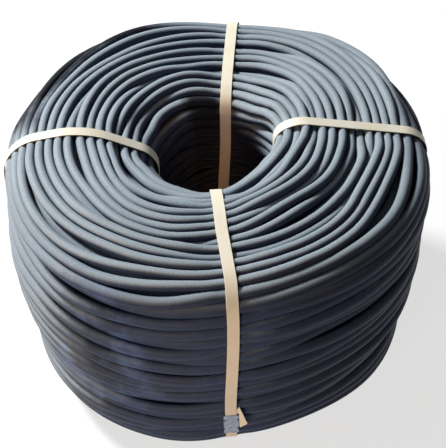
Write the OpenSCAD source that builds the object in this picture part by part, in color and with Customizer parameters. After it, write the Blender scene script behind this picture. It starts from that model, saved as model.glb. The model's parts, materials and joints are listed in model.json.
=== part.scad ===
// Coil of rubber cord stock: one turned winding with its bore, bound by four crimped plastic straps.
// Millimetres, +Z up. The origin is on the floor, on the axis of the bore.

/* [Winding] */
// Diameter of the cord
cord_d = 12; // [8:0.5:14]
// Diameter over the winding at its widest
outer_d = 450; // [400:5:520]
// Diameter of the bore, between the pressed faces of the inner turns
bore_d = 122; // [100:2:140]
// Height over the crown
coil_h = 290; // [250:5:340]
// How far neighbouring turns press into each other
turn_squeeze = 0.4; // [0.2:0.1:0.8]
// How far the turns are pressed flat by the floor and by the mandrel of the bore
press_flat = 0.4; // [0.2:0.1:0.6]

/* [Section] */
// Radius at which the crown peaks
crown_r = 112; // [100:1:140]
// Fall of the crown towards the outer wall, in degrees
crown_fall_out = 7; // [5:0.5:12]
// Fall of the crown towards the bore, in degrees
crown_fall_in = 24; // [14:0.5:28]
// Rounding of the crown's peak
crown_round = 90; // [60:5:110]
// Rounding of the shoulder, between the crown and the outer wall
shoulder_round = 50; // [30:1:60]
// Rounding of the lip, between the crown and the bore
lip_round = 34; // [20:1:38]
// Height of the belly, where the outer wall is widest
belly_z = 150; // [130:5:170]
// Rounding of the belly
belly_round = 400; // [200:10:450]
// How far the foot is drawn in from the belly
foot_draw = 24; // [12:1:30]
// Rounding of the foot, outside
foot_round = 42; // [25:1:50]
// Rounding of the foot, at the bore
bore_foot_round = 12; // [10:1:20]

/* [Straps] */
// Width of a strap
strap_w = 12; // [9:0.5:16]
// Thickness of a strap
strap_t = 0.7; // [0.5:0.1:1]
// How far a strap's face lies below the pressed faces of the turns
strap_sink = 0.2; // [0.1:0.1:0.5]
// Bearing of the front strap, in degrees
front_bearing = -88; // [-100:1:-80]
// Bearing of the right strap, in degrees
right_bearing = 3; // [-10:1:15]
// Bearing of the back strap, in degrees
back_bearing = 83; // [75:1:100]
// Bearing of the left strap, in degrees
left_bearing = 180; // [170:1:195]

/* [Seals] */
// Height of a seal's middle on the outer wall
seal_z = 68; // [66:1:74]
// Length of a seal along its strap
seal_l = 38; // [24:1:40]
// Thickness of a seal's sheet metal
seal_t = 0.6; // [0.4:0.1:0.8]
// Room in a seal beside its strap
seal_side = 1.2; // [0.6:0.1:1.6]
// Gap between the folded edges of a seal
seal_slit = 1.5; // [1:0.5:4]
// Depth of a crimp in each side of a seal
crimp_depth = 2.4; // [1.8:0.2:3]
// Length of a strap's free end past its seal
strap_end = 4; // [2:0.5:6]

/* [Loose end] */
// How far the loose end of the front strap reaches past its strap
tail_reach = 11; // [6:1:14]
// Height of the loose end along its strap
tail_l = 28; // [20:1:32]
// Angle at which the loose end springs off the winding
tail_spring = 14; // [10:1:25]

/* [Hidden] */
$fn = 64;

// Clearance between a strap, a seal and what they lie on
fit_gap = 0.1;
// Clearance beside a strap or a seal
side_gap = 0.3;
// Longest straight piece of a rounded corner
chord_l = 10;
// Largest share of a side that one rounded corner may use
round_share = 0.48;
// Length over which the upper end of a strap steps over the lower one
jog_l = 8;
// Width of the gap past the lower end of a strap
end_gap = 1;
// Room for cuts to run past what they cut
past = 20;

outer_r = outer_d / 2;
bore_r = bore_d / 2;
turn_pitch = cord_d - turn_squeeze;
strap_bite = press_flat + strap_sink + strap_t;

// The crown's corner stands above its rounded peak, so that the peak is at coil_h
crown_turn = crown_fall_out + crown_fall_in;
crown_lean = (crown_fall_in - crown_fall_out) / 2;
crown_corner_z = coil_h + crown_round * (cos(crown_lean) / cos(crown_turn / 2) - 1);
shoulder_z = crown_corner_z - (outer_r - crown_r) * tan(crown_fall_out);
lip_z = crown_corner_z - (crown_r - bore_r) * tan(crown_fall_in);

// Corners of the half section, counter-clockwise from the bore's foot: radius, height, rounding
corners = [
    [bore_r - press_flat, -press_flat, bore_foot_round],
    [outer_r - foot_draw, -press_flat, foot_round],
    [outer_r, belly_z, belly_round],
    [outer_r, shoulder_z, shoulder_round],
    [crown_r, crown_corner_z, crown_round],
    [bore_r - press_flat, lip_z, lip_round]
];

function unit(v) = v / norm(v);
function at(p) = [p[0], p[1]];
function direction(v) = atan2(v[1], v[0]);

// A rounded corner as [centre, radius, first angle, turn], its rounding limited by its two sides
function rounded(i) =
    let (
        n = len(corners),
        here = at(corners[i]),
        to_last = at(corners[(i + n - 1) % n]) - here,
        to_next = at(corners[(i + 1) % n]) - here,
        half = acos(unit(to_last) * unit(to_next)) / 2,
        reach = round_share * min(norm(to_last), norm(to_next)),
        radius = min(corners[i][2], reach * tan(half))
    )
    [here + unit(unit(to_last) + unit(to_next)) * radius / sin(half),
     radius, direction(-to_last) - 90, 180 - 2 * half];

// Outline of the half section, moved inwards by a distance
function outline(inset) = [
    for (i = [0 : len(corners) - 1])
        let (arc = rounded(i), steps = max(2, ceil(arc[1] * arc[3] * PI / 180 / chord_l)))
            for (k = [0 : steps])
                let (angle = arc[2] + arc[3] * k / steps)
                    arc[0] + (arc[1] - inset) * [cos(angle), sin(angle)]
];

// Centres of the outer turns, evenly spaced along the outline that runs through them
turn_path = outline(cord_d / 2);
path_n = len(turn_path);
path_sum = [
    for (i = 0, sum = 0; i <= path_n;
         sum = sum + norm(turn_path[(i + 1) % path_n] - turn_path[i % path_n]), i = i + 1) sum
];
path_l = path_sum[path_n];
turn_n = round(path_l / turn_pitch);

function on_path(s) = [
    for (i = [0 : path_n - 1])
        if (path_sum[i] <= s && s < path_sum[i + 1])
            let (share = (s - path_sum[i]) / (path_sum[i + 1] - path_sum[i]))
                turn_path[i] * (1 - share) + turn_path[(i + 1) % path_n] * share
][0];

turn_centres = [for (k = [0 : turn_n - 1]) on_path((k + 0.5) * path_l / turn_n)];

// The outer wall between the foot and the belly, which carries the seals
wall_tilt = atan(foot_draw / (belly_z + press_flat));
function wall_r(z) = outer_r - (belly_z - z) * tan(wall_tilt);

// Places its children on the lower wall at the seal's height: X out of the wall, Z up along it
module on_wall() {
    translate([wall_r(seal_z), 0, seal_z]) rotate([0, wall_tilt, 0]) children();
}

// A flat plate across a strap's plane, from its outline in radius and height
module plate(width) {
    rotate([90, 0, 0]) linear_extrude(width, center = true) children();
}

// Distances out of the wall of the strap's two layers and of the seal
under_in = -strap_bite;
under_out = under_in + strap_t;
over_in = under_out + fit_gap;
over_out = over_in + strap_t;
lap_low = -seal_l / 2 - strap_end;
lap_high = seal_l / 2 + strap_end;

// Top of the loose end along the wall, and how far down it its outer corner is
tail_top = lap_high + end_gap + jog_l / 2;
tail_corner = 0.8;

// The band all round the section, with the lower end cut short under the upper end
module strap_band() {
    difference() {
        plate(strap_w) difference() {
            polygon(outline(strap_bite - strap_t));
            polygon(outline(strap_bite));
        }
        on_wall() translate([under_in - fit_gap, -strap_w, lap_high])
            cube([strap_t + 2 * fit_gap, 2 * strap_w, end_gap]);
    }
}

// The upper end, which steps out over the lower end and runs through the seal
module strap_lap() {
    on_wall() plate(strap_w) polygon([
        [over_in, lap_low],
        [over_out, lap_low],
        [over_out, lap_high + end_gap],
        [under_out, lap_high + end_gap + jog_l],
        [under_in, lap_high + end_gap + jog_l],
        [under_in, lap_high + 2 * end_gap],
        [over_in, lap_high + end_gap]
    ]);
}

// One side of a crimp, as a wedge across the edge of the seal and the straps in it
module crimps() {
    edge = strap_w / 2 + seal_side + seal_t;
    on_wall() for (side = [-1, 1], z = [-1, 1] * seal_l / 4)
        translate([under_in - past / 2, side * edge, z]) rotate([45, 0, 0])
            translate([0, -crimp_depth / sqrt(2), -crimp_depth / sqrt(2)])
                cube([past, crimp_depth * sqrt(2), crimp_depth * sqrt(2)]);
}

module strap() {
    difference() {
        union() {
            strap_band();
            strap_lap();
        }
        crimps();
    }
}

// The loose end beside the seal, creased along the edge of its strap
module strap_tail() {
    beside = seal_side + seal_t + side_gap;
    on_wall() translate([under_in, strap_w / 2, 0]) rotate([0, 0, -tail_spring])
        rotate([90, 0, 90]) linear_extrude(strap_t) polygon([
            [-strap_t, seal_l / 2 + side_gap],
            [beside, seal_l / 2 + side_gap],
            [beside, tail_top - tail_l],
            [tail_reach, tail_top - tail_corner * tail_l],
            [0, tail_top],
            [-strap_t, lap_high]
        ]);
}

// A folded seal: one plate outside the straps, its two edges turned in behind them
module seal() {
    half_in = strap_w / 2 + seal_side;
    half_out = half_in + seal_t;
    back = under_in - fit_gap - seal_t;
    front = over_out + fit_gap + seal_t;
    difference() {
        on_wall() linear_extrude(seal_l, center = true) difference() {
            translate([back, -half_out]) square([front - back, 2 * half_out]);
            translate([back + seal_t, -half_in]) square([front - back - 2 * seal_t, 2 * half_in]);
            translate([back - fit_gap, -seal_slit / 2]) square([seal_t + 2 * fit_gap, seal_slit]);
        }
        crimps();
    }
}

// What a strap and its seal press out of the winding
module strap_bed() {
    plate(strap_w + 2 * side_gap) difference() {
        translate([bore_r / 2, -past]) square([outer_r, coil_h + 2 * past]);
        polygon(outline(strap_bite + fit_gap));
    }
    deep = strap_bite + seal_t + 2 * fit_gap;
    wide = strap_w + 2 * (seal_side + seal_t + side_gap);
    on_wall() translate([-deep, -wide / 2, -seal_l / 2 - side_gap])
        cube([deep + past, wide, seal_l + 2 * side_gap]);
}

// What the root of the loose end presses out of the winding
module tail_bed() {
    deep = strap_bite + strap_t * sin(tail_spring) + fit_gap;
    on_wall() translate([-deep, strap_w / 2 - strap_t - side_gap, tail_top - tail_l - side_gap])
        cube([deep + past, strap_t + tail_reach + 2 * side_gap, tail_l + 2 * side_gap]);
}

// Turns round the outside of the section, filled up to their middles
module winding_section() {
    intersection() {
        union() {
            for (centre = turn_centres) translate(centre) circle(d = cord_d);
            polygon(turn_centres);
        }
        translate([bore_r, 0]) square([outer_r, coil_h + past]);
    }
}

module coil() {
    color([0.42, 0.46, 0.52]) difference() {
        rotate_extrude() winding_section();
        for (bearing = [front_bearing, right_bearing, back_bearing, left_bearing])
            rotate(bearing) strap_bed();
        rotate(front_bearing) tail_bed();
    }
}

module strap_front() {
    color([0.93, 0.88, 0.72]) rotate(front_bearing) {
        strap();
        strap_tail();
    }
}

module strap_right() { color([0.93, 0.88, 0.72]) rotate(right_bearing) strap(); }
module strap_back() { color([0.93, 0.88, 0.72]) rotate(back_bearing) strap(); }
module strap_left() { color([0.93, 0.88, 0.72]) rotate(left_bearing) strap(); }

module seal_front() { color([0.55, 0.6, 0.66]) rotate(front_bearing) seal(); }
module seal_right() { color([0.55, 0.6, 0.66]) rotate(right_bearing) seal(); }
module seal_back() { color([0.55, 0.6, 0.66]) rotate(back_bearing) seal(); }
module seal_left() { color([0.55, 0.6, 0.66]) rotate(left_bearing) seal(); }

coil();
strap_front();
strap_right();
strap_back();
strap_left();
seal_front();
seal_right();
seal_back();
seal_left();
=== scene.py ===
"""Dresses a strapped coil of rubber cord: the wound cord, its straps, their seals and a plain stage."""

import json
import math
from functools import partial, reduce

import bmesh
import bpy
import numpy as np
from mathutils import Matrix, Vector


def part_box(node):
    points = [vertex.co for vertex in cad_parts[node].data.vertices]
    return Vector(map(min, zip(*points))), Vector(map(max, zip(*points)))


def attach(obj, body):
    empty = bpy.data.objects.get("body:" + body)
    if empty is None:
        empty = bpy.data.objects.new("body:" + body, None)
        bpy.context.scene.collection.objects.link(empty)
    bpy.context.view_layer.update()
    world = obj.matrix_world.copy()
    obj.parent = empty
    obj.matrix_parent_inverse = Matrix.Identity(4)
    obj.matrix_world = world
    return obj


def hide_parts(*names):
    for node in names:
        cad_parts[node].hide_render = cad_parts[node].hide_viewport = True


bl_info = {
    "name": "Strapped cord coil",
    "version": (1, 0, 0),
    "blender": (4, 5, 0),
    "location": "View3D > Sidebar > Cord coil",
    "description": "Winds a coil of rubber cord and binds it with crimped plastic straps",
    "category": "Add Mesh",
}

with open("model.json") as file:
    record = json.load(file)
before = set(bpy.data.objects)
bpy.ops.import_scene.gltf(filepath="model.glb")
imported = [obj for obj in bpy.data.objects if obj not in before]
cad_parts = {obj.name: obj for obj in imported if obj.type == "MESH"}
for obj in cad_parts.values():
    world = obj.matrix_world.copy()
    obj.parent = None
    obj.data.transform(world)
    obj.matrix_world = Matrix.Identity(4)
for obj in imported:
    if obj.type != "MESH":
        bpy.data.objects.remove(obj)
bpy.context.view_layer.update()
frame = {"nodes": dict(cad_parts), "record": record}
COIL_LOW, COIL_HIGH = (Vector(corner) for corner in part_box("coil"))
BORE_R = next(m["dims"]["r_mm"] for m in frame["record"]["mounts"] if m["name"] == "bore") / 1000
SIDES = ("front", "right", "back", "left")
PICTURE_H = 448


# Settings

def metres(name, description, default):
    """A length that a user can change."""
    return bpy.props.FloatProperty(name=name, description=description, default=default, unit="LENGTH")


def metres_row(name, description, default):
    """A row of lengths that a user can change."""
    return bpy.props.FloatVectorProperty(
        name=name, description=description, default=default, size=len(default), unit="LENGTH")


def degrees(name, description, default):
    """An angle that a user can change, given in degrees."""
    return bpy.props.FloatProperty(
        name=name, description=description, default=math.radians(default), subtype="ANGLE")


def tint(name, description, default):
    """A colour that a user can change."""
    return bpy.props.FloatVectorProperty(
        name=name, description=description, default=default, size=3, subtype="COLOR", min=0, max=1)


def drift_row(side, default):
    """How far a strap strays, as a setting."""
    words = f"How far the {side} strap lies off its bearing at lip, crown and shoulder"
    return metres_row(side.capitalize() + " drift", words, default)


class WindingSettings(bpy.types.PropertyGroup):
    """Sizes of the winding, in step with the solid that it stands for."""

    cord_d: metres("Cord diameter", "Thickness of the cord", 0.012)
    outer_r: metres("Outer radius", "Radius over the belly", (COIL_HIGH.x - COIL_LOW.x) / 2)
    bore_r: metres("Bore radius", "Radius of the open bore", BORE_R)
    height: metres("Height", "Height over the crown", COIL_HIGH.z)
    press: metres("Press", "How far turns are pressed flat underneath and in the bore", 0.0004)
    crown_r: metres("Crown radius", "Radius at which the crown peaks", 0.110)
    crown_sway: metres("Crown sway", "How far in the peak lies on the right, and out on the left", 0.0246)
    crown_tilt: metres("Crown tilt", "How much higher the crown stands on the right", -0.003)
    side_rise: metres("Side rise", "How much higher the crown stands at both sides", 0.003)
    shoulder_sway: metres("Shoulder sway", "How much higher the shoulder is on the right", -0.0075)
    shoulder_back: metres("Shoulder back", "How much higher the shoulder is at the back", 0.014)
    lip_sway: metres("Lip sway", "How much higher the bore's lip is on the right", 0.0095)
    lip_oval: metres("Lip oval", "How far the lip is let out along its oval, and drawn in across", 0.006)
    lip_oval_bearing: degrees("Lip oval bearing", "Where the lip is let out", 45)
    back_dip: metres("Back dip", "How far the crown is pulled down near the back strap", 0.009)
    back_dip_bearing: degrees("Back dip bearing", "Where the crown is pulled down most", 78)
    back_dip_spread: degrees("Back dip spread", "How far round the dip reaches", 45)
    lean: metres("Lean", "How far the crown leans to the right", 0.003)
    lean_z: metres("Lean from", "Height from which the coil leans", 0.090)
    foot_lift: metres("Foot lift", "How far the foot is pulled up beside the front strap", 0.022)
    foot_lift_bearing: degrees("Foot lift bearing", "Where the foot is pulled up most", -68)
    foot_lift_spread: degrees("Foot lift spread", "How far round from there the pull reaches", 44)
    foot_spread: metres("Foot spread", "How far the foot stands out where its turns slipped", 0.010)
    foot_spread_bearing: degrees("Foot spread bearing", "Where the foot stands out most", -134)
    foot_spread_reach: degrees("Foot spread reach", "How far round the foot stands out", 45)
    crown_fall_out: degrees("Fall outwards", "Slope of the crown towards the wall", 9)
    crown_fall_in: degrees("Fall inwards", "Slope of the crown towards the bore", 24)
    crown_round: metres("Crown rounding", "Radius of the crown's peak", 0.090)
    shoulder_round: metres("Shoulder rounding", "Radius between crown and wall", 0.050)
    shoulder_tight: metres("Tight shoulder", "How much less it is rounded on the right", 0.018)
    lip_round: metres("Lip rounding", "Radius between crown and bore", 0.034)
    belly_z: metres("Belly height", "Height at which the wall is widest", 0.150)
    belly_round: metres("Belly rounding", "Radius of the wall's belly", 0.400)
    foot_draw: metres("Foot draw", "How far the foot is drawn in", 0.024)
    foot_round: metres("Foot rounding", "Radius between wall and underside", 0.042)
    bore_foot_round: metres("Bore foot rounding", "Radius between underside and bore", 0.012)
    crowding: bpy.props.FloatProperty(
        name="Crowding", description="Share of a turn's width that it gets along the section", default=0.98)
    turn_widths: metres_row(
        "Turn widths", "Width of a pressed turn on the base, the wall, the top and in the bore",
        (0.012, 0.0145, 0.0102, 0.0125))
    turn_depths: metres_row(
        "Turn depths", "Depth of a pressed turn on the base, the wall, the top and in the bore",
        (0.012, 0.0106, 0.0110, 0.0116))
    bulge: metres("Bulge", "How far turns swell out between the straps", 0.003)
    wander: metres("Wander", "How far turns stray along the section", 0.0055)
    # Painted light and shade: the dusty colour is real dust and also painted light where the cord faces the
    # key lamp; the unsoiled colour is also painted shade on sides turned from it; the darkest colour is
    # painted shade in the bore, on the right and on the back rim and lip; the haze colour is partly painted
    # light, in stripes on the wall's left.
    colour: tint("Cord colour", "Colour of dusty rubber, also painted light where it faces the key lamp", (0.325, 0.385, 0.425))
    shade_colour: tint("Unsoiled and shaded rubber", "Colour of unsoiled rubber, also painted shade on sides turned from the key lamp", (0.026, 0.036, 0.072))
    painted_shade_colour: tint("Painted shade on rubber", "Colour of painted shade in the bore, on the right and on the back rim and lip", (0.010, 0.011, 0.016))
    film_and_light_colour: tint("Haze and painted light colour", "Colour of a thin dusty haze on the wall, also painted light in stripes on its left", (0.13, 0.22, 0.48))
    wrap_pitch: metres("Wrap marks", "Pitch of the cross marks on the cord", 0.0024)


class StrapSettings(bpy.types.PropertyGroup):
    """Sizes of the straps and of the lap under their seals."""

    width: metres("Width", "Width of a strap", 0.012)
    thickness: metres("Thickness", "Thickness of a strap", 0.0007)
    bite: metres("Bite", "How far a strap presses into the turns", 0.0013)
    front_bearing: degrees("Front", "Bearing of the front strap", -88)
    right_bearing: degrees("Right", "Bearing of the right strap", 3)
    back_bearing: degrees("Back", "Bearing of the back strap", 83)
    left_bearing: degrees("Left", "Bearing of the left strap", 180)
    front_drift: drift_row("front", (-0.0044, -0.0019, 0.003))
    right_drift: drift_row("right", (0.0029, -0.0004, -0.0028))
    back_drift: drift_row("back", (-0.0045, -0.0025, -0.0010))
    left_drift: drift_row("left", (-0.0006, -0.0013, -0.0019))
    seal_z: metres("Seal height", "Height of the seals' middles", 0.068)
    seal_l: metres("Seal length", "Length of a seal", 0.038)
    end_l: metres("Strap end", "How far a strap's ends stand out of its seal", 0.004)
    jog_l: metres("Jog", "Length over which a strap steps up onto its other end", 0.008)
    fit_gap: metres("Fit gap", "Gap between layers that touch", 0.0001)
    tail_spring: degrees("Tail spring", "How far the cut end springs out", 14)
    colour: tint("Strap colour", "Colour of the plastic", (0.79, 0.755, 0.655))


class StageSettings(bpy.types.PropertyGroup):
    """Where the picture is taken from."""

    elevation: degrees("Elevation", "How steeply the camera looks down", 46)
    distance: metres("Distance", "From the camera to its aim", 1.6085)
    focal_px: bpy.props.FloatProperty(
        name="Focal length", description="Focal length in pixels of the picture", default=1456)
    aim_x: metres("Aim X", "Aim across", 0.0075)
    aim_z: metres("Aim Z", "Aim above the floor", 0.1490)
    roll: degrees("Roll", "Turn of the camera about its axis", -2.4)


# The half section and its path

def rounded_corner(last, here, following, rounding, share=0.48):
    """Centre, radius, first angle and turn of a rounded corner, limited to a share of its two sides."""
    to_last = last - here
    to_next = following - here
    last_l = np.linalg.norm(to_last)
    next_l = np.linalg.norm(to_next)
    half = math.acos(float(to_last @ to_next) / (last_l * next_l)) / 2
    radius = min(rounding, share * min(last_l, next_l) * math.tan(half))
    middle = to_last / last_l + to_next / next_l
    centre = here + middle / np.linalg.norm(middle) * radius / math.sin(half)
    return centre, radius, math.atan2(-to_last[1], -to_last[0]) - math.pi / 2, math.pi - 2 * half


def raised_cosine(off):
    """1 at no distance, falling smoothly to 0 at a distance of 1."""
    return 0.5 + 0.5 * np.cos(math.pi * np.clip(np.abs(off), 0, 1))


def angle_off(bearing, middle):
    """How far a bearing lies from another, from -pi to pi."""
    return (bearing - middle + math.pi) % (2 * math.pi) - math.pi


def near_bearing(bearing, middle, spread):
    """1 at a middle bearing, falling smoothly to 0 at a spread from it."""
    return raised_cosine(angle_off(bearing, middle) / spread)


def section_corners(sizes, bearing, rounds=4):
    """Radius, height and rounding of the corners at a bearing, anticlockwise from the bore's foot."""
    sway = math.cos(bearing)
    crown_r = sizes.crown_r - sizes.crown_sway * sway
    fall_out = sizes.crown_fall_out
    fall_in = sizes.crown_fall_in
    dip = sizes.back_dip * near_bearing(bearing, sizes.back_dip_bearing, sizes.back_dip_spread)
    height = sizes.height - dip + sizes.crown_tilt * sway + sizes.side_rise * sway ** 2
    flat_z = sizes.height - dip + crown_rise(sizes, fall_out, fall_in)
    shoulder_z = flat_z - (sizes.outer_r - sizes.crown_r) * math.tan(fall_out) + sizes.shoulder_sway * sway
    shoulder_z += sizes.shoulder_back * max(math.sin(bearing), 0)
    lip_z = flat_z - (sizes.crown_r - sizes.bore_r) * math.tan(fall_in) + sizes.lip_sway * sway
    crown_z = flat_z
    for _ in range(rounds):
        fall_out = math.atan((crown_z - shoulder_z) / (sizes.outer_r - crown_r))
        fall_in = math.atan((crown_z - lip_z) / (crown_r - sizes.bore_r))
        crown_z = height + crown_rise(sizes, fall_out, fall_in)
    inside = sizes.bore_r - sizes.press
    lip_r = inside + sizes.lip_oval * math.cos(2 * (bearing - sizes.lip_oval_bearing))
    foot_z = sizes.foot_lift * near_bearing(bearing, sizes.foot_lift_bearing, sizes.foot_lift_spread)
    foot_out = sizes.foot_spread * near_bearing(bearing, sizes.foot_spread_bearing, sizes.foot_spread_reach)
    return [
        (inside, -sizes.press, sizes.bore_foot_round),
        (sizes.outer_r - sizes.foot_draw + foot_out, foot_z - sizes.press, sizes.foot_round),
        (sizes.outer_r, sizes.belly_z, sizes.belly_round),
        (sizes.outer_r, shoulder_z, sizes.shoulder_round - sizes.shoulder_tight * max(sway, 0)),
        (crown_r, crown_z, sizes.crown_round),
        (lip_r, lip_z, sizes.lip_round),
    ]


def crown_rise(sizes, fall_out, fall_in):
    """How far the crown's sharp corner stands above its rounded peak."""
    lean = (fall_in - fall_out) / 2
    return sizes.crown_round * (math.cos(lean) / math.cos((fall_in + fall_out) / 2) - 1)


def section_outline(sizes, bearing, inset, step=0.004):
    """Closed outline of the half section at a bearing, moved inwards by a distance."""
    corners = section_corners(sizes, bearing)
    places = [np.array(c[:2]) for c in corners]
    points = []
    for i, corner in enumerate(corners):
        following = places[(i + 1) % len(corners)]
        centre, radius, first, turn = rounded_corner(places[i - 1], places[i], following, corner[2])
        count = max(3, math.ceil(radius * turn / step))
        for k in range(count + 1):
            angle = first + turn * k / count
            points.append(centre + (radius - inset) * np.array([math.cos(angle), math.sin(angle)]))
    return np.array(points)


def read_along(rows, marks, want):
    """Rows of a table, read between their marks."""
    return np.column_stack([np.interp(want, marks, column) for column in rows.T])


def spread_evenly(points, count):
    """A closed line's points spread evenly along it, and its length."""
    closed = np.vstack([points, points[:1]])
    along = np.concatenate([[0], np.cumsum(np.linalg.norm(np.diff(closed, axis=0), axis=1))])
    want = np.arange(count) * along[-1] / count
    return read_along(closed, along, want), along[-1]


class SectionPath:
    """The path of the turns' centres round the section, at evenly spaced bearings."""

    def __init__(self, sizes, stations, count=900):
        self.count = count
        self.bearings = np.arange(stations) * 2 * math.pi / stations
        made = [spread_evenly(section_outline(sizes, b, sizes.cord_d / 2), count) for b in self.bearings]
        self.points = np.array([m[0] for m in made])
        self.lengths = np.array([m[1] for m in made])
        ahead = np.roll(self.points, -1, axis=1) - np.roll(self.points, 1, axis=1)
        ahead /= np.linalg.norm(ahead, axis=2, keepdims=True)
        self.outward = np.stack([ahead[..., 1], -ahead[..., 0]], axis=2)
        heading = np.unwrap(np.arctan2(ahead[..., 1], ahead[..., 0]), axis=1)
        bend = np.roll(heading, -1, axis=1) - np.roll(heading, 1, axis=1)
        self.curvature = angle_off(bend, 0) / (2 * self.lengths[:, None] / count)

    def share_of(self, direction):
        """How far round the path its furthest point in a direction is, from 0 to 1."""
        return float(np.argmax(self.points.mean(axis=0) @ np.array(direction))) / self.count

    def at(self, table, station, along):
        """A table of the path, read at distances along it."""
        position = (along / self.lengths[station]) % 1 * self.count
        low = np.floor(position).astype(int) % self.count
        high = (low + 1) % self.count
        share = position - np.floor(position)
        share = share.reshape(share.shape + (1,) * (table.ndim - 2))
        return table[station, low] * (1 - share) + table[station, high] * share


def lean_over(sizes, points):
    """Points with the upper part of the coil leaning to the right."""
    share = soft_step((points[:, 2] - sizes.lean_z) / (sizes.height - sizes.lean_z))
    return points + np.column_stack([sizes.lean * share, np.zeros((len(points), 2))])


# The wound cord

def soft_step(x):
    """A smooth step from 0 to 1."""
    x = np.clip(x, 0, 1)
    return x * x * (3 - 2 * x)


def smooth_field(draw, bearing, share, waves, bearing_waves, share_waves):
    """A smooth random field over bearing and place in the section, about from -1 to 1."""
    field = np.zeros_like(bearing)
    for _ in range(waves):
        turns = draw.integers(bearing_waves[0], bearing_waves[1] + 1) * draw.choice([-1, 1])
        laps = draw.integers(share_waves[0], share_waves[1] + 1)
        field += np.cos(turns * bearing + 2 * math.pi * laps * share + draw.uniform(0, 2 * math.pi))
    return field / math.sqrt(waves / 2)


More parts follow.
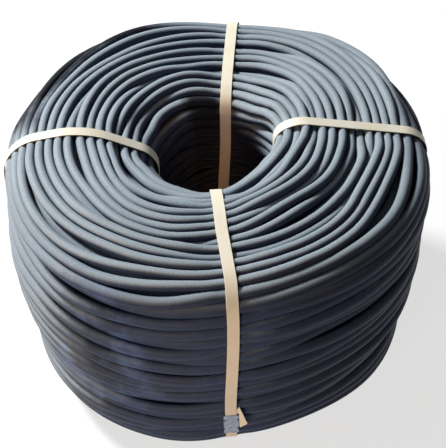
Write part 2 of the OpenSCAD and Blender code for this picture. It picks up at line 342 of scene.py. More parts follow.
class Winding:
    """One endless cord laid turn beside turn round the section, moved until its turns lie clear."""

    STATIONS = 224
    ROUNDS = 260
    FINE = 1000
    SEED = 7
    # Shares of the path: half a blend between regions, and the reach past the top's corners
    BLEND = 0.018
    TOP_REACH = 0.03
    # Where turns begin to swell beside a strap, over what distance, and the gap under it
    SWELL_FROM = 0.003
    SWELL_OVER = 0.035
    STRAP_GAP = 0.0001
    # Share of half a sunk stretch over which it drops
    SINK_RAMP = 0.45
    # Random fields: waves, and how often they go round the coil and round the section
    STRAY_WAVES = (40, (1, 4), (3, 16))
    LEVEL_WAVES = (40, (1, 6), (4, 30))
    LEVEL = 0.0012
    LEVEL_NOISE = 0.0006
    # Share of the stray to begin with, and shares of the way back that a round moves
    FIRST_STRAY = 0.4
    STRAY_PULL = 0.02
    LIFT_PULL = 0.06
    SINK_PULL = 0.25
    # Share of the limit that turns rise to, and the deepest sink in cord diameters
    RISE = 0.35
    DEEPEST = 0.75
    # Stiffness along the cord, and over how many neighbours
    STIFFNESS = {"stray": (0.35, 1), "lift": (0.4, 3)}
    # Push between turns that overlap, and distance and push that keep turns in order
    PUSH = 0.45
    ORDER = 0.3
    ORDER_PUSH = 0.25
    # Limits on how far a bend changes the room between turns
    GROWTH = (0.5, 1.5)
    TINY = 1e-9

    def __init__(self, sizes, straps):
        self.sizes = sizes
        self.path = SectionPath(sizes, self.STATIONS)
        self.corners = [self.path.share_of(d) for d in ((1, -1), (1, 1), (-1, 1))]
        self.fine = np.linspace(0, 1, self.FINE + 1)
        pitch = sizes.crowding * self.region_value(self.fine, sizes.turn_widths)
        rate = float(self.path.lengths.mean()) / pitch
        passed = np.concatenate([[0], np.cumsum((rate[1:] + rate[:-1]) / 2) / self.FINE])
        self.turns = round(passed[-1])
        self.passed = passed / passed[-1]
        n = self.turns * self.STATIONS
        self.index = np.arange(n)
        self.station = self.index % self.STATIONS
        self.bearing = self.path.bearings[self.station]
        self.share = np.interp(self.index / n, self.passed, self.fine)
        self.home = self.share * self.path.lengths[self.station]
        self.wide = self.region_value(self.share, sizes.turn_widths)
        self.deep = self.region_value(self.share, sizes.turn_depths)
        self.draw = np.random.default_rng(self.SEED)
        self.limit = self.strap_limit(straps) + (sizes.cord_d - self.deep) / 2
        self.sink = np.zeros(n)
        self.bent = np.zeros(n)

    def region_value(self, share, values):
        """A value for the base, the wall, the top and the bore, blended at the corners between them."""
        marks = [0]
        for corner in self.corners:
            marks += [corner - self.BLEND, corner + self.BLEND]
        marks += [1 - self.BLEND, 1]
        return np.interp(share, marks, [*np.repeat(values, 2), values[0]])

    def turn_at(self, share):
        """How many turns lie before a place on the path."""
        return float(np.interp(share, self.fine, self.passed)) * self.turns

    def top_share(self, radius):
        """Place on the path of a radius on the coil's top."""
        mean = self.path.points.mean(axis=0)[:, 0]
        shares = np.arange(self.path.count) / self.path.count
        top = (shares > self.corners[1] - self.TOP_REACH) & (shares < self.corners[2] + self.TOP_REACH)
        return float(np.interp(-radius, -mean[top], shares[top]))

    def strap_limit(self, straps):
        """How far out each point of the cord may stand: low under the straps, swelling between them."""
        flat = self.path.at(self.path.points, self.station, self.home)
        slack = np.ones_like(self.home)
        for side in SIDES:
            off = angle_off(self.bearing, getattr(straps, side + "_bearing")) * flat[:, 0]
            off = off - drift_across(getattr(straps, side + "_drift"), flat[:, 0], flat[:, 1])
            clear = np.abs(off) - straps.width / 2 - self.SWELL_FROM
            slack = np.minimum(slack, soft_step(clear / self.SWELL_OVER))
        return -straps.bite - self.STRAP_GAP + slack * (self.sizes.bulge + straps.bite)

    def sink_turns(self, places):
        """Lets stretches of cord drop: bearing, share, half length and depth of each."""
        n = len(self.index)
        for bearing, share, half, depth in places:
            turn = round(self.turn_at(share) - bearing / (2 * math.pi))
            middle = (turn + bearing / (2 * math.pi)) * self.STATIONS
            off = np.abs((self.index - middle + n / 2) % n - n / 2) / self.STATIONS * 2 * math.pi
            self.sink = np.maximum(self.sink, depth * soft_step((half - off) / (self.SINK_RAMP * half)))

    def bend_turns(self, places):
        """Pushes turns aside: bearing, share, half length, half width and distance of each push."""
        for bearing, share, half, reach, distance in places:
            near = near_bearing(self.bearing, bearing, half)
            self.bent += distance * near * raised_cosine((self.share - share) / reach)

    def settle(self):
        """Moves the turns until they lie beside and on each other."""
        sizes = self.sizes
        field = partial(smooth_field, self.draw, self.bearing, self.share)
        wish = sizes.wander * field(*self.STRAY_WAVES) + self.bent
        level = self.LEVEL * field(*self.LEVEL_WAVES)
        self.stray = self.FIRST_STRAY * wish
        self.lift = level + self.LEVEL_NOISE * self.draw.standard_normal(len(self.index))
        for _ in range(self.ROUNDS):
            self.stray += self.STRAY_PULL * (wish - self.stray)
            self.lift += self.LIFT_PULL * (level + self.RISE * self.limit - self.lift)
            too_high = np.where(self.sink > 0, np.maximum(self.lift + self.sink, 0), 0)
            self.lift -= self.SINK_PULL * too_high
            bend = self.path.at(self.path.curvature, self.station, self.home + self.stray)
            for apart in (1, 2):
                self.push_apart(apart, bend)
            for name, (hold, reach) in self.STIFFNESS.items():
                value = getattr(self, name)
                near = sum(np.roll(value, k) + np.roll(value, -k) for k in range(1, reach + 1))
                setattr(self, name, value + hold * (near / (2 * reach) - value))
            self.lift = np.clip(self.lift, -self.DEEPEST * sizes.cord_d, self.limit)

    def push_apart(self, apart, bend):
        """Pushes turns off the turns that lie some turns away, where their pressed sections overlap."""
        n = len(self.index)
        other = (self.index + apart * self.STATIONS) % n
        back = (self.index - apart * self.STATIONS) % n
        grow = np.clip(1 + bend * (self.lift + self.lift[other]) / 2, *self.GROWTH)
        spacing = (self.share[other] - self.share) % 1 * self.path.lengths[self.station]
        run = (spacing + self.stray[other] - self.stray) * grow
        rise = self.lift[other] - self.lift
        wide = (self.wide + self.wide[other]) / 2
        deep = (self.deep + self.deep[other]) / 2
        passing = np.maximum(self.ORDER * apart * wide - run, 0)
        run = np.maximum(run, 0)
        gap = np.hypot(run / wide, rise / deep) + self.TINY
        push = self.PUSH * np.maximum(1 - gap, 0) / gap
        aside = push * run / grow + self.ORDER_PUSH * passing
        self.stray += aside[back] - aside
        self.lift += (push * rise)[back] - push * rise

    def line(self, drop=0.0, shift=0.0, follow=1.0, cover=1.0):
        """The cord's middle line, dropped into the section and shifted along it, with its marks."""
        along = self.home + follow * self.stray + shift * self.wide
        flat = self.path.at(self.path.points, self.station, along)
        out = self.path.at(self.path.outward, self.station, along)
        flat = flat + (follow * self.lift - drop)[:, None] * out
        low = np.hypot(self.wide * out[:, 0], self.deep * out[:, 1]) / 2 - self.sizes.press
        flat[:, 1] = np.maximum(flat[:, 1], low)
        turned = np.column_stack([np.cos(self.bearing), np.sin(self.bearing)])
        points = lean_over(self.sizes, np.column_stack([flat[:, :1] * turned, flat[:, 1]]))
        return {
            "points": points,
            "outward": np.column_stack([out[:, :1] * turned, out[:, 1]]),
            "wide": cover * self.wide / self.sizes.cord_d,
            "deep": self.deep / self.sizes.cord_d,
        }


# Radii of the lip, the crown and the shoulder, the height at which straps begin to drift, and over what height
DRIFT_RADII = (0.061, 0.14, 0.2)
DRIFT_FROM = 0.09
DRIFT_OVER = 0.14


def drift_across(drift, radius, height):
    """How far a strap lies off its bearing, from its drifts at lip, crown and shoulder; none at its seal."""
    return np.interp(radius, DRIFT_RADII, drift) * soft_step((height - DRIFT_FROM) / DRIFT_OVER)


class Nodes:
    """A node tree, and short calls that add to it."""

    def __init__(self, tree):
        self.tree = tree

    def add(self, kind, inputs=None, **settings):
        """A new node with some of its settings, and some of its inputs linked or set."""
        made = self.tree.nodes.new(kind)
        for key, value in settings.items():
            setattr(made, key, value)
        self.fill(made, inputs or {})
        return made

    def fill(self, node, inputs):
        """Links outputs to a node's inputs, by name or number, or sets their constants."""
        for key, value in inputs.items():
            self.put(node.inputs[key], value)

    def put(self, socket, value):
        """Links an output to a socket, or sets its constant."""
        if isinstance(value, bpy.types.NodeSocket):
            self.tree.links.new(value, socket)
        else:
            socket.default_value = value


class SweepNodes(Nodes):
    """Geometry Nodes that sweep a cord along a line of edges and press it to an oval."""

    NAME = "Swept cord"
    INPUTS = {"Line": "Geometry", "Cord radius": "Float", "Sides": "Int", "Finish": "Material"}

    def __init__(self):
        super().__init__(bpy.data.node_groups.new(self.NAME, "GeometryNodeTree"))
        for name, kind in self.INPUTS.items():
            self.tree.interface.new_socket(name, in_out="INPUT", socket_type="NodeSocket" + kind)
        self.tree.interface.new_socket("Cord", in_out="OUTPUT", socket_type="NodeSocketGeometry")
        given = self.add("NodeGroupInput").outputs
        place = self.add("GeometryNodeInputPosition").outputs["Position"]
        along = self.add("GeometryNodeSplineParameter").outputs["Length"]
        line = self.add("GeometryNodeMeshToCurve", {"Mesh": given["Line"]}).outputs["Curve"]
        line = self.keep(line, "along", "FLOAT", along)
        line = self.keep(line, "middle", "FLOAT_VECTOR", place)
        inputs = {"Resolution": given["Sides"], "Radius": given["Cord radius"]}
        ring = self.add("GeometryNodeCurvePrimitiveCircle", inputs).outputs["Curve"]
        inputs = {"Curve": line, "Profile Curve": ring, "Fill Caps": True}
        cord = self.press(self.add("GeometryNodeCurveToMesh", inputs).outputs["Mesh"], place)
        for kind in ("GeometryNodeSetShadeSmooth", "GeometryNodeRealizeInstances"):
            cord = self.add(kind, {"Geometry": cord}).outputs["Geometry"]
        inputs = {"Geometry": cord, "Material": given["Finish"]}
        self.add("NodeGroupOutput", {"Cord": self.add("GeometryNodeSetMaterial", inputs).outputs["Geometry"]})

    def keep(self, geometry, name, kind, value):
        """Geometry with a value kept on its points under a name."""
        inputs = {"Geometry": geometry, "Name": name, "Value": value}
        made = self.add("GeometryNodeStoreNamedAttribute", inputs, data_type=kind, domain="POINT")
        return made.outputs["Geometry"]

    def read(self, name, kind="FLOAT"):
        """A value kept on points under a name."""
        return self.add("GeometryNodeInputNamedAttribute", {"Name": name}, data_type=kind).outputs["Attribute"]

    def vector(self, operation, first, second):
        """Two vectors put together, or a vector scaled by a number."""
        inputs = {0: first, "Scale" if operation == "SCALE" else 1: second}
        made = self.add("ShaderNodeVectorMath", inputs, operation=operation)
        return made.outputs["Value" if operation == "DOT_PRODUCT" else "Vector"]

    def press(self, cord, place):
        """Scales a swept cord about its middle line, by one mark outwards and by another across."""
        middle = self.read("middle", "FLOAT_VECTOR")
        outward = self.read("outward", "FLOAT_VECTOR")
        reach = self.vector("SUBTRACT", place, middle)
        up = self.vector("SCALE", outward, self.vector("DOT_PRODUCT", reach, outward))
        aside = self.vector("SUBTRACT", reach, up)
        up = self.vector("SCALE", up, self.read("deep"))
        aside = self.vector("SCALE", aside, self.read("wide"))
        inputs = {"Geometry": cord, "Position": self.vector("ADD", middle, self.vector("ADD", up, aside))}
        cord = self.add("GeometryNodeSetPosition", inputs).outputs["Geometry"]
        for name in ("middle", "outward", "wide", "deep"):
            inputs = {"Geometry": cord, "Name": name}
            cord = self.add("GeometryNodeRemoveAttribute", inputs).outputs["Geometry"]
        return cord


def mark_points(mesh, name, rows):
    """Keeps a number or a vector for each point of a mesh."""
    kind, field = ("FLOAT_VECTOR", "vector") if rows.ndim > 1 else ("FLOAT", "value")
    mesh.attributes.new(name, kind, "POINT").data.foreach_set(field, rows.astype(np.float32).ravel())


def sweep_line(name, line, radius, sides, finish):
    """A cord swept along a marked line, as a plain mesh object."""
    tree = bpy.data.node_groups.get(SweepNodes.NAME) or SweepNodes().tree
    points = line["points"]
    mesh = bpy.data.meshes.new(name + "_line")
    mesh.from_pydata(points.tolist(), [(i, i + 1) for i in range(len(points) - 1)], [])
    for key in ("outward", "wide", "deep"):
        mark_points(mesh, key, line[key])
    maker = add_piece(name + "_line", mesh)
    modifier = maker.modifiers.new("Sweep", "NODES")
    modifier.node_group = tree
    values = {"Cord radius": radius, "Sides": sides, "Finish": finish}
    for item in tree.interface.items_tree:
        if item.in_out == "INPUT" and item.name in values:
            modifier[item.identifier] = values[item.name]
    graph = bpy.context.evaluated_depsgraph_get()
    made = bpy.data.meshes.new_from_object(maker.evaluated_get(graph))
    bpy.data.objects.remove(maker)
    bpy.data.meshes.remove(mesh)
    made.name = name
    return add_piece(name, made)


def add_piece(name, data):
    """A new object for a mesh, a lamp or a camera, in the scene's collection."""
    piece = bpy.data.objects.new(name, data)
    bpy.context.collection.objects.link(piece)
    return piece


# Finishes

class Finish(Nodes):
    """A material with a principled shader, and short calls that add to its nodes."""

    # The span that most of a noise lies in
    NOISE = (0.3, 0.7)

    def __init__(self, name):
        self.material = bpy.data.materials.new(name)
        self.material.use_nodes = True
        super().__init__(self.material.node_tree)
        self.shader = self.tree.nodes["Principled BSDF"]

    def paint(self, inputs):
        """Links or sets the shader's inputs by name."""
        self.fill(self.shader, inputs)

    def place(self):
        """Where a point lies on the object."""
        return self.add("ShaderNodeTexCoord").outputs["Object"]

    def reach(self, vector, direction):
        """How far a vector reaches in a direction."""
        inputs = {0: vector, 1: Vector(direction).normalized()}
        return self.add("ShaderNodeVectorMath", inputs, operation="DOT_PRODUCT").outputs["Value"]

    def facing(self, direction):
        """How far the surface faces a direction, from -1 to 1."""
        return self.reach(self.add("ShaderNodeTexCoord").outputs["Normal"], direction)

    def mark(self, name):
        """A number kept on the mesh under a name."""
        return self.add("ShaderNodeAttribute", attribute_name=name).outputs["Fac"]

    def maths(self, operation, *values):
        """Values put together by one maths node."""
        return self.add("ShaderNodeMath", dict(enumerate(values)), operation=operation).outputs[0]

    def times(self, *values):
        """Values multiplied together."""
        return reduce(partial(self.maths, "MULTIPLY"), values)

    def most(self, *values):
        """The greatest of some values."""
        return reduce(partial(self.maths, "MAXIMUM"), values)

    def scale_add(self, value, factor, added):
        """A value times a factor, with another added."""
        return self.maths("MULTIPLY_ADD", value, factor, added)

    def rest(self, share):
        """What a share leaves of the whole."""
        return self.maths("SUBTRACT", 1.0, share)

    def noise(self, vector, scale, detail=2.0, roughness=0.5, stretch=None):
        """Smooth noise over a place, stretched along its axes if asked."""
        if stretch:
            vector = self.add("ShaderNodeMapping", {"Vector": vector, "Scale": stretch}).outputs["Vector"]
        inputs = {"Vector": vector, "Scale": scale, "Detail": detail, "Roughness": roughness}
        return self.add("ShaderNodeTexNoise", inputs).outputs["Fac"]

    def fit(self, value, span, wanted=(0, 1)):
        """A value carried from one span to another, and held there."""
        return self.add("ShaderNodeMapRange", dict(enumerate((value, *span, *wanted)))).outputs[0]

    def mix(self, share, first, second):
        """Two colours mixed, each a plain colour or an output."""
        made = self.add("ShaderNodeMix", {0: share}, data_type="RGBA")
        colours = [s for s in made.inputs if s.type == "RGBA"]
        for socket, colour in zip(colours, (first, second)):
            self.put(socket, (*colour, 1) if isinstance(colour, tuple) else colour)
        return next(s for s in made.outputs if s.type == "RGBA")

    def bump(self, height, strength, distance):
        """Makes the surface look raised by a height."""
        inputs = {"Height": height, "Strength": strength, "Distance": distance}
        self.paint({"Normal": self.add("ShaderNodeBump", inputs).outputs["Normal"]})


# Directions in which the dusty colour and painted light lie, facing the key lamp at the back left, and in
# which painted shade lies on the back rim and lip
DUST_AND_LIGHT_FROM = (-0.5, 0.35, 0.8)
DUST_AND_LIGHT_SIDE = (-0.82, 0.57, 0)
SHADED_RIM_SIDE = (-0.707, 0.707, 0)
SHADED_LIP_SIDE = (-0.122, 0.993, 0)
# Spans of radius over which the bore, painted in shade, gives way to the top, the slope into it ends, and rim
# and lip get painted shade
MOUTH_R = (0.085, 0.105)
SLOPE_R = (0.09, 0.11)
SHADED_RIM_R = (0.191, 0.198)
SHADED_LIP_R = (0.076, 0.080)
# Spans of height over which the dusty top, also painted light, and the rim's painted shade begin
DUST_AND_LIGHT_Z = (0.245, 0.275)
SHADED_RIM_Z = (0.236, 0.264)
# Spans across and back over which the painted light stripes and the dusty haze with painted light fade, and
# painted shade on the right begins
LIT_STREAKS_X = (-0.12, -0.02)
LIT_STREAKS_Y = (-0.13, -0.05)
FILM_AND_LIGHT_X = (0.0, 0.14)
SHADED_RIGHT_X = (-0.02, 0.1)


def cord_finish(sizes):
    """Matte blue-grey rubber, dusty in patches, with the cross marks of the cloth it was cured in; painted
    light where it faces the key lamp, on its top and its back-left side, and painted shade on sides turned
    from that lamp, in the bore, on the right and on the back rim and lip.
    """
    finish = Finish("cord_rubber")
    fit, times = finish.fit, finish.times
    place = finish.place()
    patches = finish.noise(place, 14, detail=4, roughness=0.6)
    specks = finish.noise(place, 420)
    waver = times(finish.noise(place, 90), 2.2)
    phase = finish.scale_add(finish.mark("along"), 2 * math.pi / sizes.wrap_pitch, waver)
    ribs = fit(finish.maths("SINE", phase), (-1, 1))
    grain = times(fit(ribs, (0, 1), (0.85, 1.0)), fit(specks, finish.NOISE, (0.88, 1.05)))
    # Painted light: faces turned up towards the key lamp, at the back left, take the dusty colour, as well as
    # real dusty upward faces
    settled_and_lit = fit(finish.facing(DUST_AND_LIGHT_FROM), (0.05, 0.55), (0, 0.88))
    cover, film_and_light, rubbed_and_painted_shade = dust_light_and_shade(finish, place, patches)
    dust_and_light = times(settled_and_lit, cover, grain)
    # Painted shade: the darkest colour in the bore, on the right and on the back rim and lip, over the
    # unsoiled colour that is also painted shade
    clean_and_shaded = finish.mix(rubbed_and_painted_shade, tuple(sizes.shade_colour), tuple(sizes.painted_shade_colour))
    # Painted light: the bluish haze colour in stripes and patches on the wall's left
    shaded_with_film_and_light = finish.mix(times(film_and_light, grain), clean_and_shaded, tuple(sizes.film_and_light_colour))
    finish.paint({
        "Base Color": finish.mix(dust_and_light, shaded_with_film_and_light, tuple(sizes.colour)),
        "Roughness": fit(patches, finish.NOISE, (0.46, 0.56)),
        "Specular IOR Level": 0.12,
    })
    finish.bump(finish.scale_add(ribs, 0.8, times(specks, 0.5)), 0.42, 0.0004)
    return finish.material


def dust_light_and_shade(finish, place, patches):
    """Shares of the surface that are dusty and painted light, that carry a thin dusty haze with painted light,
    and that take painted shade.
    """
    fit, times, most = finish.fit, finish.times, finish.most
    x, y, z = (finish.reach(place, axis) for axis in ((1, 0, 0), (0, 1, 0), (0, 0, 1)))
    radius = finish.maths("SQRT", finish.scale_add(x, x, times(y, y)))
    # Painted shade: no dusty colour inside the bore
    outside = fit(radius, MOUTH_R)
    # The dusty colour and painted light reach down into the bore on the right
    slope = times(most(x, 0.0), fit(radius, SLOPE_R, (0.6, 0)))
    # Painted light, and dusty: the top above this height is lighter than the wall
    high = fit(finish.maths("ADD", z, slope), DUST_AND_LIGHT_Z)
    # Painted light, with random dusty patches: the coil's side towards the key lamp is lighter, round the left
    # wall
    left = finish.scale_add(patches, 0.22, finish.reach(place, DUST_AND_LIGHT_SIDE))
    left = fit(left, (0.07, 0.15), (0, 0.85))
    patchy = fit(patches, (0.56, 0.7), (0.08, 0.5))
    # Painted shade on the back rim and lip
    painted_shade = painted_shade_places(finish, place, patches, radius, z)
    kept = finish.rest(painted_shade)
    # Dusty share, also painted light: the top and the side towards the key lamp outside the bore, less the
    # painted shade
    cover = times(most(high, times(most(left, patchy), outside)), kept)
    # Painted light: light stripes on the front of the wall's left, where the lamps don't reach
    painted_light_streaks = times(
        fit(patches, (0.48, 0.62), (0, 0.75)), fit(x, LIT_STREAKS_X, (1, 0)),
        fit(y, LIT_STREAKS_Y, (1, 0.15)))
    # Thin dusty haze, and painted light: it is stronger towards the left
    film_and_light = times(fit(patches, finish.NOISE, (0, 0.16)), fit(x, FILM_AND_LIGHT_X, (1, 0.2)))
    film_and_light = times(most(film_and_light, painted_light_streaks), outside, kept, finish.rest(high))
    # Painted shade: the darkest colour deeper in the bore
    inside = times(finish.rest(outside), fit(high, (0, 0.5), (0.6, 0)))
    # Painted shade: darker towards the right, away from the key lamp
    return cover, film_and_light, most(painted_shade, fit(x, SHADED_RIGHT_X, (0, 0.35)), inside)


def painted_shade_places(finish, place, patches, radius, z):
    """Painted shade on the cord: on the rim at the back left, and on the bore's lip at the back."""
    fit, times, most = finish.fit, finish.times, finish.most
    behind = finish.maths("DIVIDE", finish.reach(place, SHADED_RIM_SIDE), radius)
    # Painted shade along the rim at the back left
    rim = times(
        fit(finish.scale_add(patches, 0.4, behind), (0.96, 1.12)),
        fit(finish.scale_add(patches, 0.02, radius), SHADED_RIM_R, (0, 0.97)),
        fit(z, SHADED_RIM_Z))
    # Painted shade on the bore's lip at the back
    beside = finish.maths("DIVIDE", finish.reach(place, SHADED_LIP_SIDE), radius)
    lip = times(fit(beside, (0.93, 0.985), (0, 0.95)), fit(radius, SHADED_LIP_R, (1, 0)))
    return most(rim, lip)


def strap_finish(straps):
    """Satin cream plastic, a little uneven in tone."""
    finish = Finish("strap_plastic")
    place = finish.place()
    grain = finish.noise(place, 900, detail=1)
    tone = finish.scale_add(finish.noise(place, 22, detail=3), 0.7, finish.times(grain, 0.3))
    light = tuple(straps.colour)
    dull = tuple(c * share for c, share in zip(light, (0.88, 0.84, 0.74)))
    finish.paint({"Base Color": finish.mix(finish.fit(tone, finish.NOISE), dull, light), "Roughness": 0.42})
    finish.bump(grain, 0.15, 0.0002)
    return finish.material


def seal_finish():
    """Galvanised sheet steel with faint spangle and scuff marks."""
    finish = Finish("seal_steel")
    place = finish.place()
    spangle = finish.fit(finish.noise(place, 240, detail=3), finish.NOISE)
    rubbed_and_painted_shade = finish.noise(place, 600, stretch=(1, 1, 0.1))
    finish.paint({
        "Base Color": finish.mix(spangle, (0.22, 0.25, 0.31), (0.42, 0.46, 0.54)),
        "Metallic": 0.9,
        "Roughness": finish.fit(rubbed_and_painted_shade, finish.NOISE, (0.35, 0.6)),
    })
    finish.bump(rubbed_and_painted_shade, 0.2, 0.0002)
    return finish.material


def floor_finish():
    """A pale matte floor: nearly white to the camera, with a shadow on it, and grey to other light."""
    finish = Finish("pale_floor")
    rays = finish.add("ShaderNodeLightPath").outputs
    seen = finish.most(*(rays[f"Is {kind} Ray"] for kind in ("Camera", "Glossy", "Transmission")))
    finish.paint({"Base Color": finish.mix(seen, (0.25, 0.25, 0.26), (0.9, 0.9, 0.9)), "Roughness": 0.9})
    glow = finish.add("ShaderNodeEmission").outputs[0]
    inputs = {"Fac": finish.times(seen, 0.68), 1: finish.shader.outputs[0], 2: glow}
    both = finish.add("ShaderNodeMixShader", inputs).outputs[0]
    finish.fill(finish.tree.nodes["Material Output"], {"Surface": both})
    return finish.material


# Operators

class CORDCOIL_OT_wind_cord(bpy.types.Operator):
    """Wind the cord into its coil"""

    bl_idname = "cordcoil.wind_cord"
    bl_label = "Wind cord"

    SIDES_SEEN = 16
    SIDES_UNDER = 8
    UNDER_EVERY = 2

    def execute(self, context):
        sizes = context.scene.coil_winding
        winding = Winding(sizes, context.scene.coil_straps)
        winding.sink_turns(sunk_stretches(winding))
        winding.bend_turns(bent_stretches(winding))
        winding.settle()
        finish = cord_finish(sizes)
        radius = sizes.cord_d / 2
        cuts = [round(winding.turn_at(s)) * winding.STATIONS for s in (0, *winding.corners, 1)]
        line = close_line(winding.line())
        for name, first, last in zip(("base", "wall", "top", "bore"), cuts, cuts[1:]):
            stretch = {key: rows[first:last + 1] for key, rows in line.items()}
            self.keep(sweep_line("coil_" + name, stretch, radius, self.SIDES_SEEN, finish))
        under = winding.line(drop=0.95 * sizes.cord_d, shift=0.5, follow=0.5, cover=1.35)
        under = {key: rows[::self.UNDER_EVERY] for key, rows in close_line(under).items()}
        self.keep(sweep_line("coil_under", under, radius, self.SIDES_UNDER, finish))
        return {"FINISHED"}

    @staticmethod
    def keep(piece):
        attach(piece, "root")
        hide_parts("coil")


def close_line(line):
    """A line and its marks, with the first point once more at the end."""
    return {key: np.concatenate([rows, rows[:1]]) for key, rows in line.items()}


# Stretches that drop at random on the top: first and last bearing in degrees, and how many between them
TOP_SINKS = ((-85, 0, 3), (5, 80, 2), (85, 178, 4), (182, 270, 2))
TOP_SINK_HALF = (25, 60)
TOP_SINK_DEPTH = (0.4, 0.65)
# How far down the wall the top's stretches may lie, as a share of the path
TOP_SINK_REACH = 0.02
# Stretches that drop at random on the wall: how many, half length in degrees, and depth in cord diameters
WALL_SINKS = 8
WALL_SINK_HALF = (25, 70)
WALL_SINK_DEPTH = (0.25, 0.5)
# Stretches that drop at chosen places: bearing, radius, half length and depth in cord diameters
CHOSEN_SINKS = ((146, 0.214, 24, 0.35), (143, 0.205, 22, 0.35), (118, 0.207, 16, 0.6), (-22, 0.168, 20, 0.7))
# Pushes beside the right strap: bearing, radius, half length, half width as a share, and distance
BENDS = ((-9, 0.172, 14, 0.03, -0.007), (-30, 0.176, 16, 0.03, 0.006), (16, 0.168, 14, 0.03, 0.005))


def sunk_stretches(winding):
    """Stretches of cord that drop below their neighbours: bearing, share, half length and depth of each."""
    d = winding.sizes.cord_d
    draw = winding.draw.uniform
    foot, shoulder, lip = winding.corners
    places = []
    for low, high, count in TOP_SINKS:
        for _ in range(count):
            bearing = math.radians(draw(low, high))
            share = draw(shoulder - TOP_SINK_REACH, lip)
            half = math.radians(draw(*TOP_SINK_HALF))
            places.append((bearing, share, half, d * draw(*TOP_SINK_DEPTH)))
    for _ in range(WALL_SINKS):
        bearing = draw(0, 2 * math.pi)
        share = draw(foot, shoulder)
        half = math.radians(draw(*WALL_SINK_HALF))
        places.append((bearing, share, half, d * draw(*WALL_SINK_DEPTH)))
    for bearing, radius, half, depth in CHOSEN_SINKS:
        places.append((math.radians(bearing), winding.top_share(radius), math.radians(half), d * depth))
    return places


def bent_stretches(winding):
    """Pushes that bend turns beside the right strap: bearing, share, half length, half width and distance."""
    places = []
    for bearing, radius, half, width, distance in BENDS:
        places.append((math.radians(bearing), winding.top_share(radius), math.radians(half), width, distance))
    return places


def taut_line(points):
    """The tightest closed line round points in a plane, anticlockwise."""
    ordered = sorted(map(tuple, points))
    halves = []
    for row in (ordered, ordered[::-1]):
        half = []
        for p in row:
            while len(half) > 1 and turn_of(half[-2], half[-1], p) <= 0:
                half.pop()
            half.append(p)
        halves.append(half[:-1])
    return np.array(halves[0] + halves[1])


def turn_of(a, b, c):
    """Above 0 where the way from a by b to c turns left."""
    return (b[0] - a[0]) * (c[1] - a[1]) - (b[1] - a[1]) * (c[0] - a[0])


class StrapRoute:
    """The line of a strap round the section: taut, drifting off its bearing, lapped on itself at its seal."""

    STEP = 0.002
    FINE_STEP = 0.001
    # Radius inside which the strap is laid on the lip under both its edges
    LIP_R = 0.09
    # How far above and below a seal's middle the strap lies straight
    STRAIGHT = 0.03

    def __init__(self, sizes, straps, side):
        self.sizes = sizes
        self.straps = straps
        self.bearing = getattr(straps, side + "_bearing")
        self.drift = getattr(straps, side + "_drift")
        self.inset = straps.bite - straps.thickness / 2
        wall = self.wall(sizes, straps)
        line = taut_line(np.vstack([self.pressed(sizes, straps), wall]))
        _, length = spread_evenly(line, 1)
        self.points, self.length = spread_evenly(line, round(length / self.STEP))
        start = np.argmin(np.linalg.norm(self.points - wall.mean(axis=0), axis=1))
        self.points = np.roll(self.points, -start, axis=0)

    def pressed(self, sizes, straps):
        """The section that the strap presses on, at its bearing and round the lip under both its edges."""
        points = [section_outline(sizes, self.bearing, self.inset, self.FINE_STEP)]
        for edge in (-0.5, 0.5):
            turn = (self.drift[0] + edge * straps.width) / sizes.bore_r
            near = section_outline(sizes, self.bearing + turn, self.inset, self.FINE_STEP)
            points.append(near[(near[:, 0] < self.LIP_R) & (near[:, 1] > sizes.belly_z)])
        return np.vstack(points)

    def wall(self, sizes, straps):
        """The strap's place on the lower wall, where the seal holds it."""
        heights = straps.seal_z + np.linspace(-self.STRAIGHT, self.STRAIGHT, 7)
        lean = sizes.foot_draw / (sizes.belly_z + sizes.press)
        inset = self.inset / math.cos(math.atan(lean))
        return np.column_stack([sizes.outer_r - (sizes.belly_z - heights) * lean - inset, heights])

    def laid(self):
        """Middle line of the strap from its outer end to its covered end, with its outward directions."""
        straps = self.straps
        lap = straps.seal_l / 2 + straps.end_l
        count = round((self.length + 2 * lap) / self.STEP)
        along = np.linspace(-lap, self.length + lap, count)
        closed = np.vstack([self.points, self.points[:1]])
        marks = np.linspace(0, self.length, len(closed))
        line = read_along(closed, marks, along % self.length)
        ahead = np.gradient(line, axis=0)
        ahead /= np.linalg.norm(ahead, axis=1, keepdims=True)
        outward = np.column_stack([ahead[:, 1], -ahead[:, 0]])
        over = (straps.thickness + straps.fit_gap) * soft_step((lap + straps.jog_l - along) / straps.jog_l)
        return line + over[:, None] * outward, outward, along

    def in_space(self, flat, across):
        """Places in space for places in the section and distances across the strap."""
        c = math.cos(self.bearing)
        s = math.sin(self.bearing)
        across = across + drift_across(self.drift, flat[:, 0], flat[:, 1])
        points = np.column_stack([flat[:, 0] * c - across * s, flat[:, 0] * s + across * c, flat[:, 1]])
        return lean_over(self.sizes, points)


# How far a strap's edges are eased, in its thickness
EDGE_EASE = 0.45
# Corners of the front strap's cut end in mm: across from the strap's edge, and along the strap
TAIL_CORNERS = ((-2.0, 21.5), (0.3, 27.5), (2.8, 33.0), (10.7, 4.8), (3.2, -6.2), (2.3, -2.0), (2.3, 20.2))
# How far the cut end's lower part stands off, from where along the strap, and over what length
TAIL_LIFT = 0.0022
TAIL_LIFT_FROM = 0.015
TAIL_LIFT_OVER = 0.012


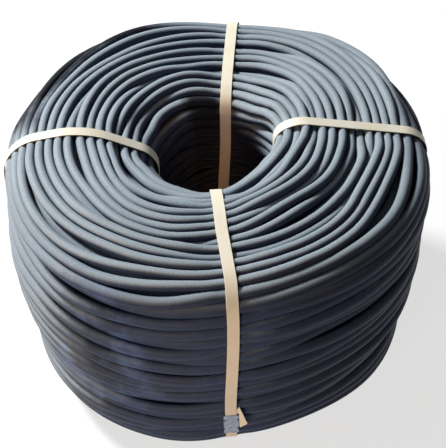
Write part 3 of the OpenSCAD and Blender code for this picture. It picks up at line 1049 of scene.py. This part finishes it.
def strap_mesh(route):
    """Points and faces of a flat strap with eased edges, lofted along its route."""
    straps = route.straps
    line, outward, _ = route.laid()
    half = straps.width / 2
    thick = straps.thickness / 2
    ease = straps.thickness * EDGE_EASE
    ring = [(-half, 0), (ease - half, -thick), (half - ease, -thick), (half, 0), (half - ease, thick),
            (half / 2, thick), (0, thick), (-half / 2, thick), (ease - half, thick)]
    rows = [route.in_space(line + up * outward, np.full(len(line), side)) for side, up in ring]
    points = np.stack(rows, axis=1).reshape(-1, 3)
    n = len(ring)
    faces = []
    for i in range(len(line) - 1):
        for k in range(n):
            j = (k + 1) % n
            faces.append((i * n + k, i * n + j, (i + 1) * n + j, (i + 1) * n + k))
    last = (len(line) - 1) * n
    faces.append(tuple(range(n))[::-1])
    faces.append(tuple(last + k for k in range(n)))
    return points, faces


def tail_mesh(route):
    """Points and faces of the cut end that springs out beside the seal, hinged on the strap's edge."""
    straps = route.straps
    line, outward, along = route.laid()
    side, down = np.array(TAIL_CORNERS).T / 1000
    wall = read_along(line, along, down)
    out = read_along(outward, along, down)
    rise = np.maximum(side, 0) * math.tan(straps.tail_spring) - straps.thickness - straps.fit_gap
    rise += TAIL_LIFT * soft_step((TAIL_LIFT_FROM - down) / TAIL_LIFT_OVER)
    points = []
    for up in (-straps.thickness / 2, straps.thickness / 2):
        points.append(route.in_space(wall + (rise + up)[:, None] * out, straps.width / 2 + side))
    n = len(TAIL_CORNERS)
    faces = [tuple(range(n))[::-1], tuple(range(n, 2 * n))]
    faces += [(k, (k + 1) % n, n + (k + 1) % n, n + k) for k in range(n)]
    return np.vstack(points), faces


def mesh_of(name, parts, finish):
    """One mesh from parts that are points and faces, with its faces turned outwards."""
    mesh = bpy.data.meshes.new(name)
    faces = []
    first = 0
    for points, part_faces in parts:
        faces += [tuple(first + k for k in face) for face in part_faces]
        first += len(points)
    mesh.from_pydata(np.vstack([points for points, _ in parts]).tolist(), [], faces)
    made = bmesh.new()
    made.from_mesh(mesh)
    bmesh.ops.recalc_face_normals(made, faces=made.faces)
    made.to_mesh(mesh)
    made.free()
    mesh.materials.append(finish)
    return mesh


class CORDCOIL_OT_fit_straps(bpy.types.Operator):
    """Draw the straps tight round the turns"""

    bl_idname = "cordcoil.fit_straps"
    bl_label = "Fit straps"

    def execute(self, context):
        straps = context.scene.coil_straps
        finish = strap_finish(straps)
        for side in SIDES:
            route = StrapRoute(context.scene.coil_winding, straps, side)
            parts = [strap_mesh(route)]
            if side == "front":
                parts.append(tail_mesh(route))
            piece = add_piece("band_" + side, mesh_of("band_" + side, parts, finish))
            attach(piece, "root")
            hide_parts("strap_" + side)
        return {"FINISHED"}


class CORDCOIL_OT_crimp_seals(bpy.types.Operator):
    """Finish the seals"""

    bl_idname = "cordcoil.crimp_seals"
    bl_label = "Crimp seals"

    def execute(self, context):
        finish = seal_finish()
        for side in SIDES:
            paint_node("seal_" + side, finish)
        return {"FINISHED"}


def paint_node(name, finish):
    """Gives a solid of the frame its finish."""
    mesh = frame["nodes"][name].data
    mesh.materials.clear()
    mesh.materials.append(finish)


class CORDCOIL_OT_set_stage(bpy.types.Operator):
    """Set the floor, the light and the camera"""

    bl_idname = "cordcoil.set_stage"
    bl_label = "Set stage"

    FLOOR_HALF = 40.0
    SENSOR_MM = 36.0
    FAR = 100.0
    # Round lamps that face the coil's middle: place, power in watts, colour and size
    MIDDLE = (0, 0, 0.15)
    LAMPS = {
        "key": ((-1.85, 1.36, 2.28), 166, (1, 1, 1), 0.6),
        "fill": ((-1.5, -2.45, 0.5), 50, (1, 0.71, 0.49), 0.9),
        "side": ((-2.6, -0.7, 1.3), 7, (0.80, 0.91, 1.0), 0.8),
        "right": ((2.5, -0.2, 1.2), 6, (0.9, 0.93, 1.0), 0.8),
    }
    # A narrow lamp into the bore's mouth: place, aim, power in watts and colour, then its beam
    BORE_LAMP = ((0, -0.70, 1.29), (0, 0.046, 0.226), 19, (1, 0.42, 0.14))
    BORE_BEAM = {"spot_size": math.radians(5.5), "spot_blend": 0.8, "shadow_soft_size": 0.03}
    WORLD_COLOUR = (0.88, 0.91, 1.0, 1)
    WORLD_STRENGTH = 0.05

    def execute(self, context):
        half = self.FLOOR_HALF
        corners = [(-half, -half, 0), (half, -half, 0), (half, half, 0), (-half, half, 0)]
        mesh = bpy.data.meshes.new("floor")
        mesh.from_pydata(corners, [], [(0, 1, 2, 3)])
        mesh.materials.append(floor_finish())
        add_piece("floor", mesh)
        for name, (place, power, colour, size) in self.LAMPS.items():
            self.light(name, "AREA", place, self.MIDDLE, power, colour, shape="DISK", size=size)
        self.light("bore_lamp", "SPOT", *self.BORE_LAMP, **self.BORE_BEAM)
        self.world(context)
        self.camera(context, context.scene.coil_stage)
        context.scene.view_settings.view_transform = "Standard"
        return {"FINISHED"}

    @staticmethod
    def light(name, kind, place, aim, power, colour, **settings):
        lamp = bpy.data.lights.new(name, kind)
        lamp.energy = power
        lamp.color = colour
        for key, value in settings.items():
            setattr(lamp, key, value)
        made = add_piece(name, lamp)
        made.location = place
        made.rotation_euler = (Vector(aim) - Vector(place)).to_track_quat("-Z", "Y").to_euler()

    def world(self, context):
        world = bpy.data.worlds.new("studio")
        world.use_nodes = True
        back = world.node_tree.nodes["Background"]
        back.inputs["Color"].default_value = self.WORLD_COLOUR
        back.inputs["Strength"].default_value = self.WORLD_STRENGTH
        context.scene.world = world

    def camera(self, context, stage):
        lens = bpy.data.cameras.new("camera")
        lens.sensor_fit = "VERTICAL"
        lens.sensor_height = self.SENSOR_MM
        lens.lens = stage.focal_px / PICTURE_H * lens.sensor_height
        lens.clip_end = self.FAR
        made = add_piece("camera", lens)
        back = Vector((0, -math.cos(stage.elevation), math.sin(stage.elevation)))
        right = Vector((1, 0, 0))
        up = back.cross(right)
        turned_right = right * math.cos(stage.roll) + up * math.sin(stage.roll)
        turned_up = up * math.cos(stage.roll) - right * math.sin(stage.roll)
        eye = Vector((stage.aim_x, 0, stage.aim_z)) + back * stage.distance
        turn = Matrix((turned_right, turned_up, back)).transposed().to_4x4()
        made.matrix_world = Matrix.Translation(eye) @ turn
        context.scene.camera = made


class CORDCOIL_PT_panel(bpy.types.Panel):
    """Lists what makes the coil"""

    bl_idname = "CORDCOIL_PT_panel"
    bl_label = "Cord coil"
    bl_space_type = "VIEW_3D"
    bl_region_type = "UI"
    bl_category = "Cord coil"

    def draw(self, context):
        for operator in OPERATORS:
            self.layout.operator(operator.bl_idname)


OPERATORS = (CORDCOIL_OT_set_stage, CORDCOIL_OT_wind_cord, CORDCOIL_OT_fit_straps, CORDCOIL_OT_crimp_seals)
SETTINGS = {"coil_winding": WindingSettings, "coil_straps": StrapSettings, "coil_stage": StageSettings}
CLASSES = (*SETTINGS.values(), *OPERATORS, CORDCOIL_PT_panel)


def register():
    for cls in CLASSES:
        bpy.utils.register_class(cls)
    for name, group in SETTINGS.items():
        setattr(bpy.types.Scene, name, bpy.props.PointerProperty(type=group))


def unregister():
    for name in SETTINGS:
        delattr(bpy.types.Scene, name)
    for cls in reversed(CLASSES):
        bpy.utils.unregister_class(cls)


def main():
    register()
    bpy.ops.cordcoil.set_stage()
    bpy.ops.cordcoil.wind_cord()
    bpy.ops.cordcoil.fit_straps()
    bpy.ops.cordcoil.crimp_seals()


if __name__ == "__main__":
    main()
